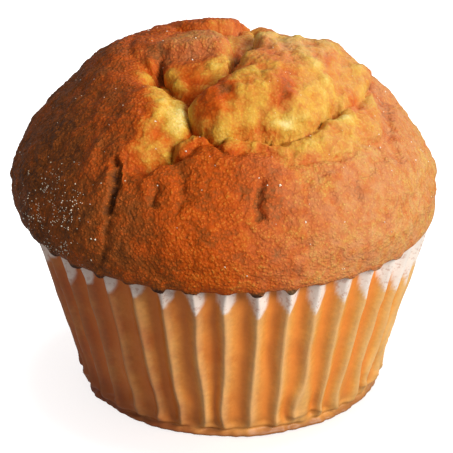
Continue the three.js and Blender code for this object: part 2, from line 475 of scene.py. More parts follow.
# Holes and short cracks in the crust: a path, its half width and its depth.
HOLES = [
    {"path": [on_dome(-18.6, -22.4), on_dome(-18.2, -24.6), on_dome(-18.9, -26.4), on_dome(-19.9, -27.9)],
     "half_width": 0.58, "depth": 1.8},
    {"path": [on_side(-33.5, 42.6), on_side(-34.6, 40), on_side(-34.2, 37), on_side(-35.6, 33.5)],
     "half_width": 0.32, "depth": 0.6},
    {"path": [on_dome(4.9, -28.2), on_dome(4.4, -29.4), on_dome(4.3, -30.8), on_dome(4.9, -32.2)],
     "half_width": 0.54, "depth": 1.7},
    {"path": [on_dome(-11.4, -28), on_dome(-12.4, -29.2), on_dome(-12.2, -30.2)],
     "half_width": 0.5, "depth": 0.9},
    {"path": [on_dome(-9.2, -25), on_dome(-8, -27), on_dome(-7.6, -29.4), on_dome(-8.1, -31.4)],
     "half_width": 0.9, "depth": 0.8},
    {"path": [on_dome(16.1, -26.3), on_dome(17.2, -26.8)], "half_width": 0.4, "depth": 0.7},
    {"path": [on_dome(20.4, -23.1), on_dome(20.8, -23.9)], "half_width": 0.5, "depth": 0.9},
    {"path": [on_dome(24.8, -11.4), on_dome(25.6, -13.2), on_dome(25.2, -15.4)],
     "half_width": 0.4, "depth": 0.7},
    {"path": [on_side(21, 41), on_side(21.6, 38)], "half_width": 0.35, "depth": 0.5},
]
RISES = [  # low bumps of crust, in the same way
    {"path": [on_dome(-17.6, -21.2), on_dome(-19.2, -24.6)], "half_width": 1.7, "height": 0.9},
    {"path": [on_dome(-21.4, -17.4), on_dome(-22.6, -19.4)], "half_width": 0.9, "height": 0.5},
    {"path": [on_dome(-14.4, -26.6), on_dome(-11.4, -26.8)], "half_width": 1.6, "height": 0.5},
    {"path": [on_dome(7.6, -27.4), on_dome(7.2, -30)], "half_width": 1.6, "height": 0.5},
]


def lump_height(lump, x, y):
    """How far one lump stands above the plain dome, inside its outline and down its side."""
    inside = depth_inside(lump["outline"], x, y)
    share = np.clip(inside / lump["reach"], 0, 1)
    rounding = 1 - np.sqrt(1 - (1 - share) ** 2)
    along, heights = zip(*lump["ridge"])
    top = np.interp(y, along, heights)
    for swell_x, swell_y, reach_x, reach_y, height in lump.get("swells", []):
        top = top + height * spot(x, y, swell_x, swell_y, reach_x, reach_y)
    return top - lump["crown"] * rounding - WALL_SLOPE * np.maximum(-inside, 0)


def burst(points):
    """How far the burst top stands above the plain dome at each point."""
    tear = BROAD_TEAR * shift(points, 4.5, (11, 12)) + SHORT_TEAR * shift(points, 1.7, (13, 14))
    x, y = points[:, 0] + tear[:, 0], points[:, 1] + tear[:, 1]
    sets = {"floor": FLOOR_TOP + FLOOR_SWELL * swell(points, 3.0, 15)}
    for lump in LUMPS:
        height = lump_height(lump, x, y)
        sets[lump["set"]] = np.maximum(sets.get(lump["set"], height), height)
    heights = np.sort(np.stack(list(sets.values())), axis=0)
    highest, second = heights[-1], heights[-2]
    crack = CRACK_DEPTH * np.exp(-(highest - second) / CRACK_WIDTH)
    return highest - crack


# ---------------------------------------------------------------------------------------------------
# Baked colour, with painted shade and one painted highlight: 0 is pale crumb, 0.5 golden crust, 1 the darkest
# crust
# ---------------------------------------------------------------------------------------------------

TORN_OPEN = [  # where the crust is gone and the crumb shows
    (-13.6, 0), (-15, -3), (-14.8, -6), (-14, -10), (-13.4, -14), (-14.2, -17), (-15.6, -19.4),
    (-16, -22), (-14.6, -24.2), (-11.5, -24.6), (-8.6, -24.2), (-6.8, -22.9), (-4, -22.4), (-2, -22.9),
    (0, -24), (2.4, -23.6), (5, -23.6), (7, -24.5), (10, -24.4), (13, -23.3), (15.4, -21.4),
    (18.2, -18.6), (20.6, -15.4), (24.4, -12.4), (25.8, -6), (25.2, 0), (22.6, 5), (17, 9),
    (10, 10), (5, 14), (4.6, 22), (2.6, 22), (1.8, 13), (-0.5, 10.6), (-3.2, 9.8), (-3.6, 8), (-2.4, 6),
    (-1.6, 2), (-1, -1), (-2.2, -2.6), (-5, -3), (-9, -2.6), (-11.6, -2.2), (-12.4, 0),
]
PATCHES = [  # x, y, reach along x and y, how much browner; among the browning, the pale spot at (8.8, -18.5) is a painted highlight and the dark spot at (0.8, 2.4) is painted shadow in the hollow behind the tongue
    (8.8, -13.3, 1.7, 2.8, 0.34), (7.4, -11.2, 2.4, 1.4, 0.24), (3, -13.4, 1.2, 1.8, 0.14),
    (-0.7, -12.6, 1.5, 3.0, 0.34), (-4.2, -14.8, 2.2, 3.4, 0.18), (-4.2, -11.6, 1.8, 1.6, 0.14),
    (15.6, -1, 1.4, 3.4, 0.20), (9.4, -7.5, 2.4, 3.0, 0.06), (4, -4.5, 3.4, 4, 0.08), (8, 0, 5, 4, 0.10),
    # the spot at (8.8, -18.5) in the next line is a painted highlight on the lump's front
    (0.6, -18.6, 1.2, 0.8, 0.10), (1.8, -7.5, 1.6, 1.8, 0.12), (8.8, -18.5, 2.0, 1.1, -0.26),
    (3, -18.9, 4.5, 1.4, -0.12), (11.5, -16.5, 2.4, 2.4, -0.12), (13.5, -9.5, 3.6, 4.4, -0.06),
    (16.6, -15.6, 1.0, 2.0, 0.16), (21.2, -6, 1.0, 3.2, 0.14), (13.4, -22.6, 2.0, 1.2, 0.12),
    (-9.8, -13.6, 2.2, 5.4, -0.20), (-9.8, -22.4, 1.4, 1.2, 0.06), (-20, -22.6, 2.0, 1.6, -0.12),
    (-22.2, -17.4, 1.3, 1.9, -0.10), (19.5, -12, 2, 1.4, -0.08), (-7, -9.6, 3.6, 2.8, 0.06),
    (-2.4, -3, 1.3, 3.6, -0.08), (26.8, -7, 1.1, 5, 0.15), (4, -21.9, 4.6, 1.0, -0.12),
    (-5.6, -21.2, 2.0, 0.9, -0.10), (-16, 2, 2.6, 7, -0.08), (-16.6, -12, 2.2, 5.5, -0.06),
    (1, 12, 2.5, 8, 0.10), (26.2, 2, 1.4, 6, 0.14), (-6, 14, 8, 5, -0.06), (-6.5, 2.8, 5.5, 4.5, -0.21),
    (6, -30.6, 1.6, 2.4, 0.08), (0, 4, 2.2, 5, -0.12), (-8, -8, 6, 4, 0.08), (-6, -4, 4.5, 2.2, 0.09),
    (22.5, 5, 2.5, 4, 0.12), (-2, -18, 4, 3, 0.04), (-4, 14, 6, 4, 0.05), (-9.5, -16, 3, 5, -0.08),
    # the spot at (0.8, 2.4) in the next line is painted shadow in the hollow behind the tongue
    (0.8, 2.4, 1.8, 2.4, 0.34), (-12.4, -1, 1.4, 3, 0.26), (-11.5, -8, 1.6, 3, -0.10),
    (-17, -9, 2.2, 4, 0.04), (-3.4, -16.6, 3.4, 3.2, 0.14), (-6, 0.2, 5, 1.6, 0.05), (-10, -5, 2, 3, 0.06),
]
CRUST_BROWNING_AND_SHADE = [  # how brown the crust is, from the dome's left edge, -1, to its right edge, 1; the darker left is partly painted shade, on the side away from the key light
    (-0.85, 0.74), (-0.65, 0.70), (-0.42, 0.645), (-0.1, 0.55), (0.1, 0.515), (0.4, 0.455), (0.9, 0.42),
]
TORN_EDGE_BROWNING = 0.62  # the edge of the crust on the left of the tear
CRUMB_BROWNING = 0.33
IN_CRACK_SHADE = 0.14  # painted shade: how much browner the crumb is deep in a crack
HOLE_SHADE = 0.11  # painted shade: how much browner a hole is, for each mm of its depth


def brown_and_shade_at(plain, points, rise):
    """The baked colour at each place, from where it was on the plain dome and where it is now, with painted
    shade deep in cracks and a painted highlight and shadow among the patches.
    """
    tear = 0.8 * shift(points, 3.6, (21, 22)) + 0.6 * shift(points, 1.3, (23, 24))
    x, y = plain[:, 0] + tear[:, 0], plain[:, 1] + tear[:, 1]
    high = smooth_step(plain[:, 2], WIDEST_HEIGHT, WIDEST_HEIGHT + 6)

    turn = np.arctan2(plain[:, 0], -plain[:, 1])  # 0 at the front, and positive to the right
    side = np.sin(turn) * np.hypot(plain[:, 0], plain[:, 1]) / DOME_RADIUS
    side = side + 0.06 * swell(points, 9, 25)
    crust = np.interp(side, *zip(*CRUST_BROWNING_AND_SHADE))
    low = smooth_step(-plain[:, 2], -WIDEST_HEIGHT - 4, -LIP_HEIGHT)
    crust += 0.07 * low * smooth_step(-side, -0.7, 0.2)  # painted shade under the dome's overhang, on the left, away from the key light
    crust += 0.05 * swell(points, 7, 26) + 0.07 * swell(points, 2.8, 27)

    torn = depth_inside(TORN_OPEN, x, y)
    softness = mix(1.5, 3.4, smooth_step(plain[:, 0], 6, 16))
    open_crumb = smooth_step(torn / softness, -1.0, 1.2) * high
    edge = np.exp(-(((torn + 0.8) / 1.9) ** 2)) * high
    crust = mix(crust, TORN_EDGE_BROWNING, edge * smooth_step(-plain[:, 0], -14, 2))

    crumb = CRUMB_BROWNING + 0.08 * swell(points, 5, 28) + 0.06 * swell(points, 1.8, 29)
    crumb += IN_CRACK_SHADE * smooth_step(-rise, 2.2, 4.0)
    brown_and_shade = mix(crust, crumb, open_crumb)
    for patch_x, patch_y, reach_x, reach_y, browner in PATCHES:
        brown_and_shade += browner * spot(x, y, patch_x, patch_y, reach_x, reach_y) * high
    return brown_and_shade, open_crumb


# ---------------------------------------------------------------------------------------------------
# The muffin
# ---------------------------------------------------------------------------------------------------


BEAD_OUT = 0.15  # how far a bead of batter stands out over the rim, and how far it hangs down
BEAD_DOWN = 0.85
BEAD_RADIUS = 34.0


def lip_bead(angle):
    """How strongly the batter ran over each crest of the cup, 0 to 1; not at all on the far right."""
    phase = straight_phase(angle)
    pleat = np.round(phase).astype(np.int64)
    strength = 0.25 + 0.75 * pleat_value(pleat, 31)
    strength = strength * (1 - smooth_step(np.cos(angle), 0.7, 0.95))
    around = place_at(BEAD_RADIUS, angle, 0)
    width = 0.22 + 0.10 * swell(around, 2.2, 32)
    uneven = 1 + 0.4 * swell(around, 0.9, 33)
    return smooth_step(width - np.abs(phase - pleat), -0.06, 0.14) * strength * uneven


def lip_place(angle):
    """Where the crust comes down onto the rim of the cup."""
    bead = lip_bead(angle)
    rightward = smooth_step(np.cos(angle), 0.2, 0.95)
    radius = LIP_RADIUS - LIP_LEAN * np.cos(angle) + 0.3 * rightward + BEAD_OUT * bead
    return radius, LIP_HEIGHT - BEAD_DOWN * bead


def crust_place(angle, way):
    """A place on the plain crust: way -1 is the lip, 0 the widest ring and 1 the top."""
    if way >= 0:
        return dome_place(angle, way * math.pi / 2)
    lip_radius, lip_height = lip_place(angle)
    widest, _ = dome_place(angle, 0.0)
    turn = (1 + way) * math.pi / 2
    radius = mix(lip_radius, widest, math.sin(turn))
    return radius, mix(lip_height, WIDEST_HEIGHT, 1 - math.cos(turn))


def even_ways():
    """Steps from the lip to the top, spaced SPACING apart along the crust, and its profile in fine steps."""
    fine = np.linspace(-1, 1, 2001)[:-1]
    front = np.array([-math.pi / 2 + 0.08])  # between two beads
    profile = np.array([[float(v[0]) for v in crust_place(front, way)] for way in fine])
    length = np.concatenate([[0], np.cumsum(np.linalg.norm(np.diff(profile, axis=0), axis=1))])
    return np.interp(np.arange(0, length[-1] - 0.6 * SPACING, SPACING), length, fine), profile, fine


LOW_ROWS = (1.4, 3, 5, 7, 10, 13, 16, 19, 22)  # heights of the crumb's rings inside the cup
RIM_ROWS = (24, 26, 28, 29.5, RIM_HEIGHT)
EMPTY_FROM = 21.0  # above this the crumb draws back from the crests,
EMPTY_SHARE = 0.7  # and at the rim it leaves this share of a pleat's depth empty


def muffin_rings():
    """Rings of the plain muffin, from the middle of its bottom up to the top of the dome."""
    rings = []

    def add(count, place):
        angle = ring_angles(count)
        radius, height = place(angle)
        rings.append(place_at(radius, angle, height))

    bottom = PAPER_THICKNESS + CRUMB_GAP
    for share in (0.3, 0.7, 1.0):
        add(AROUND // 4, lambda angle: (share * CRUMB_BOTTOM_RADIUS, bottom))
    for height in LOW_ROWS:
        add(AROUND // 2, lambda angle: (crumb_radius(angle, height), height))
    for height in RIM_ROWS:
        add(AROUND, lambda angle: (crumb_radius(angle, height), height))
    ways, profile, fine = even_ways()
    count = AROUND
    for way in ways:
        radius = np.interp(way, fine, profile[:, 0])
        if 2 * math.pi * radius / count < CLOSEST and count > FEWEST:
            count //= 2
        add(count, lambda angle: crust_place(angle, way))
    return bottom, rings


def crumb_radius(angle, height):
    """The crumb's side inside the cup; near the rim it stops short of the crests."""
    empty = smooth_step(height, EMPTY_FROM, RIM_HEIGHT) * EMPTY_SHARE
    loss = empty * PLEAT_DEPTH * (1 - valley_share(pleat_phase(angle, height)))
    return paper_radius(angle, 0 * angle + height) - PAPER_THICKNESS - CRUMB_GAP - loss


# The relief of the crust and of the torn crumb: the height of each swell, its size and its seed. Then
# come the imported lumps, the cobbles and the pebbles of dried batter: their sizes, and how far they stand up.
CRUST_SWELLS = [(0.40, 7.5, 61), (0.26, 3.0, 62), (0.12, 1.5, 65)]
CRUMB_SWELLS = [(0.44, 2.8, 63), (0.24, 1.3, 64), (0.10, 0.8, 60), (0.30, 5.0, 67)]
LUMP_SIZE, COBBLE_SIZE, PEBBLE_SIZE = 2.9, 1.9, 1.0
CRUST_GRAINS = (0.12, 0.22, 0.17)
CRUMB_GRAINS = (0.0, 0.16, 0.24)
GRAIN_MEAN = 0.6  # the mean height of a grain, so that they neither swell nor shrink the muffin
WEATHERING = 0.45  # how far each point is drawn to its neighbours, which blunts the torn edges

HAZE_AND_SHEEN_SPOTS = [(8, 4, 9, 8, 0.5), (-7, 1.5, 6, 4, 0.16)]  # x, y, reach along x and y, strength; these spots on the lump and the tongue are partly painted sheen


def with_holes(plain, rise, free):
    """The rise with the low bumps added and the holes cut into it, and how deep each place is cut."""
    tear = 0.32 * shift(plain, 1.5, (42, 43, 44)) + 0.26 * shift(plain, 0.75, (45, 46, 47))
    wander = 1 + 0.3 * swell(plain, 1.6, 41)
    hollow = np.zeros(len(plain))
    for hole in HOLES:
        away = distance_to_path(hole["path"], plain + tear) / (hole["half_width"] * wander)
        hollow = np.maximum(hollow, hole["depth"] * np.exp(-away * away))
    for bump in RISES:
        away = distance_to_path(bump["path"], plain + tear) / bump["half_width"]
        rise = rise + bump["height"] * np.exp(-away * away)
    return rise - hollow * free, hollow


def baked_grains(points):
    """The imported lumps, cobbles and pebbles of the crust, each about 0 on average."""
    squeeze = 0.35 * shift(points, 1.2, (56, 57, 58))
    lumps = grains(points, LUMP_SIZE, 51)
    cobbles = grains(points + 1.6 * squeeze, COBBLE_SIZE, 59)
    pebbles = grains(points + squeeze, PEBBLE_SIZE, 55)
    return np.stack([lumps, cobbles, pebbles]) - GRAIN_MEAN


def sugar_haze_and_sheen(plain, points):
    """How thick the haze of dried sugar and flour is, with a painted sheen: most on the right, the lit side,
    and on the highest places.
    """
    side = plain[:, 0] / DOME_RADIUS
    haze_and_sheen = 0.28 * smooth_step(side, -0.1, 0.7) + 0.015 * smooth_step(-side, 0.2, 0.6)
    for spot_x, spot_y, reach_x, reach_y, strength in HAZE_AND_SHEEN_SPOTS:
        haze_and_sheen += strength * spot(plain[:, 0], plain[:, 1], spot_x, spot_y, reach_x, reach_y)
    return haze_and_sheen * (1 + 0.5 * swell(points, 1.1, 66))


def muffin_shape():
    """The points and faces of the muffin, and at each point its baked colour with painted shade, its torn
    places, and its sugar haze with painted sheen.
    """
    bottom, rings = muffin_rings()
    top = np.array([[0, 0, WIDEST_HEIGHT + DOME_RISE]])
    plain = np.concatenate([np.array([[0, 0, bottom]]), *rings, top])
    faces = rings_to_faces([len(ring) for ring in rings])

    # The dome bursts as it rises. `free` is 0 inside the cup and 1 where the crust is free of it.
    high = smooth_step(plain[:, 2], WIDEST_HEIGHT - 1, WIDEST_HEIGHT + 4)
    free = smooth_step(plain[:, 2], LIP_HEIGHT + 0.2, LIP_HEIGHT + 3)
    rise, hollow = with_holes(plain, burst(plain) * high, free)
    points = plain + outward(plain, faces) * rise[:, None]
    points = relax(points, faces, WEATHERING * free[:, None])

    brown_and_shade, torn = brown_and_shade_at(plain, points, rise)
    brown_and_shade += HOLE_SHADE * np.clip(hollow, 0, 1.5)

    # The crust dried into packed lumps and grains; the torn crumb is softer and pitted.
    packed = baked_grains(points)
    crust_relief = layered(points, CRUST_SWELLS) + CRUST_GRAINS @ packed
    crumb_relief = layered(points, CRUMB_SWELLS) + CRUMB_GRAINS @ packed
    relief = mix(crust_relief, crumb_relief, torn)
    points = points + outward(points, faces) * (relief * free)[:, None]

    # Painted shade: the crumb is browner the lower it lies, in its pits. The joints between the grains are
    # browner, and so is the crust at the lip.
    brown_and_shade = brown_and_shade - 0.22 * relief * torn
    _, cobbles, pebbles = packed
    brown_and_shade = brown_and_shade - (0.06 * pebbles + 0.07 * cobbles) * (1 - 0.6 * torn)
    angle = np.arctan2(plain[:, 1], plain[:, 0])
    near_lip = 1 - smooth_step(plain[:, 2], LIP_HEIGHT - 0.4, LIP_HEIGHT + 0.7)
    brown_and_shade += (0.05 + 0.30 * lip_bead(angle)) * near_lip
    haze_and_sheen = sugar_haze_and_sheen(plain, points) * (1 - 0.5 * torn)
    return points, faces, {"browning_and_shade": np.clip(brown_and_shade, 0, 1), "torn": torn, "haze_and_sheen": haze_and_sheen}


def make_muffin():
    points, faces, fields = muffin_shape()
    muffin = make_piece("corn_muffin", points, faces, baked_corn_crust(), fields)
    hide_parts("muffin")
    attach(muffin, "root")
    return muffin


# ---------------------------------------------------------------------------------------------------
# The paper cup
# ---------------------------------------------------------------------------------------------------

CUP_AROUND = PLEATS * 14
FOOT_ROWS = {0.0: 0.4, 0.1: 0.2, 0.25: 0.06, 0.45: 0.0}  # the lowest rows: height, and how far drawn in
FLAT_BELOW = 0.3  # rows lower than this belong to the flat bottom
CRUMPLED_ROWS = np.linspace(0.62, 3, 14)
WALL_ROWS = np.linspace(3.3, RIM_HEIGHT, 48)
# The pleats' depth as a share of PLEAT_DEPTH: what it is low on the wall, and what it gains up to the
# rim. It stays under 1, because the crumb that rose in the cup pushed the pleats open.
DEPTH_AT_FOOT = 0.44
DEPTH_GROWTH = 0.38


def belt(height, middle, reach):
    """1 at the middle height of a belt round the wall, fading to 0 over its reach up and down."""
    return np.exp(-(((height - middle) / reach) ** 2))


def paper_radius(angle, height):
    """Radius of the outer face of the paper at each place of its wall."""
    share = height / RIM_HEIGHT
    straight = mix(BASE_RADIUS, RIM_RADIUS, share)
    around = place_at(MID_WALL, angle, height)

    # The bottom edge, creased where the wall was pressed up: a ragged skirt with a notch above it.
    wave = swell(upright(around, 0.2), 5.5, 75)
    ragged = swell(upright(around, 0.2), 1.3, 79)
    skirt = (0.22 + 0.34 * wave + 0.22 * ragged) * belt(height, 0.2, 0.45)
    notch = 0.62 + 0.45 * swell(upright(around, 0.3), 3.1, 78)
    notch = notch * belt(height, 1.1 + 0.45 * wave + 0.2 * ragged, 0.42)

    # The wall is crumpled low down and a little buckled above.
    fold = 1 - 2 * np.abs(swell(upright(around, 1.3), 3.4, 76))
    crumple = 0.36 * fold * belt(height, 2.6, 2.2)
    buckle = 0.14 * swell(around, 4, 77) * smooth_step(height, 3, 8)

    # The pleats start just above the edge, each crest with a toe that stands out a little.
    uneven = 1 + 0.16 * swell(upright(around, 0.12), 4.5, 73) + 0.12 * swell(around, 3.0, 74)
    depth = PLEAT_DEPTH * (DEPTH_AT_FOOT + DEPTH_GROWTH * share)
    depth = depth * smooth_step(height, 0.7 + 0.4 * wave, 2.6 + wave)
    valley = valley_share(pleat_phase(angle, height))
    toe = 0.25 * (1 - valley) * belt(height, 2.8, 1.6)
    return straight - depth * uneven * valley + skirt - notch + crumple + buckle + toe


NEAR_RIM = 33.0  # radius at which the edges of the dry patches are worked out
DRY_OFFSET = 0.03  # how far a dry patch lies to the right of its crest, in pleats
DRYNESS = 0.9  # of the driest paper, where 1 would be paper that no butter reached


def dry_patches(angle, height):
    """1 where the paper stayed dry: along the tops of the crests, where no crumb touched it."""
    phase = pleat_phase(angle, height)
    pleat = np.round(phase).astype(np.int64)
    from_crest = np.abs(phase - pleat - DRY_OFFSET)
    around = place_at(NEAR_RIM, angle, height)
    from_crest = from_crest + 0.04 * swell(upright(around, 0.5), 0.8, 83) + 0.04 * swell(around, 2.4, 84)

    # Each patch is a tapering tongue, in mm down from the rim and in pleats across; on the far right,
    # where the crumb drew back furthest, they are longer and meet.
    rightward = smooth_step(np.cos(angle), 0.6, 0.98)
    length = 3.4 + 3.4 * pleat_value(pleat, 81) ** 1.4 + 4.6 * rightward
    down = (RIM_HEIGHT - height) / length
    half_width = 0.35 + 0.06 * pleat_value(pleat, 82) + 0.12 * rightward
    half_width = half_width * (1 - 0.45 * down) * np.sqrt(np.clip((1 - down) * 2.2, 0, 1))
    return DRYNESS * smooth_step(half_width - from_crest, -0.05, 0.09) * (down < 1)


def make_paper_cup():
    """One sheet: its outer face from the middle of the bottom up to the rim, then its inner face down."""
    angle = ring_angles(CUP_AROUND)
    heights = [*FOOT_ROWS, *CRUMPLED_ROWS, *WALL_ROWS]

    def ring(height, inset):
        radius = paper_radius(angle, np.full_like(angle, height)) - FOOT_ROWS.get(height, 0.0) - inset
        lift = inset if height < FLAT_BELOW else 0.0  # the inner face of the bottom lies on the outer one
        return place_at(radius, angle, height + lift)

    outer = [ring(height, 0.0) for height in heights]
    inner = [ring(height, PAPER_THICKNESS) for height in heights[::-1]]
    rings = outer + inner
    start = np.array([[0, 0, 0.0]])
    end = np.array([[0, 0, PAPER_THICKNESS]])
    points = np.concatenate([start, *rings, end])
    faces = rings_to_faces([len(r) for r in rings])

    place = np.arctan2(points[:, 1], points[:, 0])
    height = points[:, 2]
    crest = 1 - valley_share(pleat_phase(place, height))
    crest = mix(0.5, crest, smooth_step(height, 0.8, 4))
    # The paper took scorch marks along its bottom edge, and is darker for a few mm above it; most of all on
    # the left, where the darkening is painted shade.
    edge_width = 1.2 + 0.7 * swell(upright(points, 0.2), 2.4, 85)
    low_edge = 0.65 * (1 - smooth_step(height / edge_width, 0.3, 1.3))
    low_edge += 0.30 * (1 - smooth_step(height, 1, 8))
    # painted shade low on the left, the side away from the key light
    low_edge += 0.35 * (1 - smooth_step(height, 1, 10)) * smooth_step(-np.cos(place), 0.2, 0.9)
    pale = 0.5 + 0.4 * np.cos(place)  # paler towards the right: partly less butter, partly painted light on the lit side
    fields = {"dry": dry_patches(place, height), "crest": crest, "low_edge": low_edge, "pale": pale}
    cup = make_piece("pleated_paper_cup", points, faces, greased_baking_paper(), fields)
    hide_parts("paper_cup")
    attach(cup, "root")
    return cup


# ---------------------------------------------------------------------------------------------------
# Sugar on the crust
# ---------------------------------------------------------------------------------------------------

SUGAR_SEED = 7
SUGAR_CRYSTALS = 440
DUSTED_SPOT = on_side(-56, 37)  # where a pinch of sugar and flour lies, low on the left
DUSTED_REACH = 6.4
STRAYS = 0.004  # the chance of a crystal far from the dusted spot, against 0.1 to 1.1 within it
OCTAHEDRON = [(0, 2, 4), (2, 1, 4), (1, 3, 4), (3, 0, 4), (2, 0, 5), (1, 2, 5), (3, 1, 5), (0, 3, 5)]


def make_sugar(muffin):
    """Small crystals lying on the crust: most in one dusted spot, and a few strays all over."""
    draw = np.random.default_rng(SUGAR_SEED)
    crust_points = np.array([corner.co for corner in muffin.data.vertices]) / MM
    above = crust_points[crust_points[:, 2] > LIP_HEIGHT + 0.8]
    away = np.linalg.norm(above - DUSTED_SPOT, axis=1) / DUSTED_REACH
    clump = smooth_step(swell(above, 2.2, 91), -0.1, 0.5)
    chance = np.exp(-away * away) * (0.12 + clump) + STRAYS
    chosen = draw.choice(len(above), SUGAR_CRYSTALS, replace=False, p=chance / chance.sum())
    points, faces = [], []
    corners = np.array([[1, 0, 0], [-1, 0, 0], [0, 1, 0], [0, -1, 0], [0, 0, 1], [0, 0, -1]], float)
    for centre in above[chosen]:
        size = draw.uniform(0.07, 0.17) * (1.5 if draw.random() < 0.12 else 1)  # a few are larger
        shape = corners * draw.uniform(0.6, 1.3, 3) + draw.normal(0, 0.12, (6, 3))
        turn, _ = np.linalg.qr(draw.normal(size=(3, 3)))
        start = len(points) * len(corners)
        points.append(centre + shape @ turn * size)
        faces += [tuple(start + corner for corner in face) for face in OCTAHEDRON]
    sugar = make_piece("sugar_grains", np.concatenate(points), faces, white_sugar(), {})
    sugar.data.polygons.foreach_set("use_smooth", [False] * len(sugar.data.polygons))
    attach(sugar, "root")
    return sugar


# ---------------------------------------------------------------------------------------------------
# Finishes
# ---------------------------------------------------------------------------------------------------


def linear(hex_colour):
    """An sRGB hex colour as linear RGBA."""
    channels = [int(hex_colour[i : i + 2], 16) / 255 for i in (0, 2, 4)]
    return [c / 12.92 if c <= 0.04045 else ((c + 0.055) / 1.055) ** 2.4 for c in channels] + [1.0]


def add_node(tree, kind, settings=None, links=None):
    """Adds a node: settings are its properties and input values, links its inputs' sources."""
    node = tree.nodes.new(kind)
    for name, value in (settings or {}).items():
        if isinstance(name, str) and hasattr(node, name) and name not in node.inputs:
            setattr(node, name, value)
        else:
            node.inputs[name].default_value = value
    for name, source in (links or {}).items():
        tree.links.new(source, node.inputs[name])
    return node


def new_finish(name):
    """An empty material and its node tree."""
    finish = bpy.data.materials.new(name)
    finish.use_nodes = True
    tree = finish.node_tree
    tree.nodes.clear()
    return finish, tree


def colour_scale(tree, factor, stops):
    """A scale of colours: (place, hex colour) stops along factor."""
    scale = add_node(tree, "ShaderNodeValToRGB", {}, {"Fac": factor})
    elements = scale.color_ramp.elements
    while len(elements) < len(stops):
        elements.new(0.5)
    for element, (place, colour) in zip(elements, stops):
        element.position = place
        element.color = linear(colour)
    return scale.outputs["Color"]


def per_metre(size_mm):
    """The scale of a pattern whose repeat is that many millimetres."""
    return 1 / (size_mm * MM)


BROWNING = [  # corn crumb as it bakes: cream, corn yellow, gold, orange, chestnut, dark brown
    (0.00, "EED890"),
    (0.14, "DEBC5E"),
    (0.28, "D29E38"),
    (0.40, "CA7E2A"),
    (0.50, "C86216"),
    (0.60, "BC4C08"),
    (0.70, "9C4A12"),
    (0.80, "824212"),
    (0.90, "603216"),
    (1.00, "421F10"),
]
SUGAR_HAZE_AND_SHEEN = "DCBE8A"  # the haze of dried sugar and flour on the crust, which also paints a sheen
GRAIN_TIP_HIGHLIGHT = "985A2C"  # painted highlight on the tip of each meal grain, added to the crust's colour
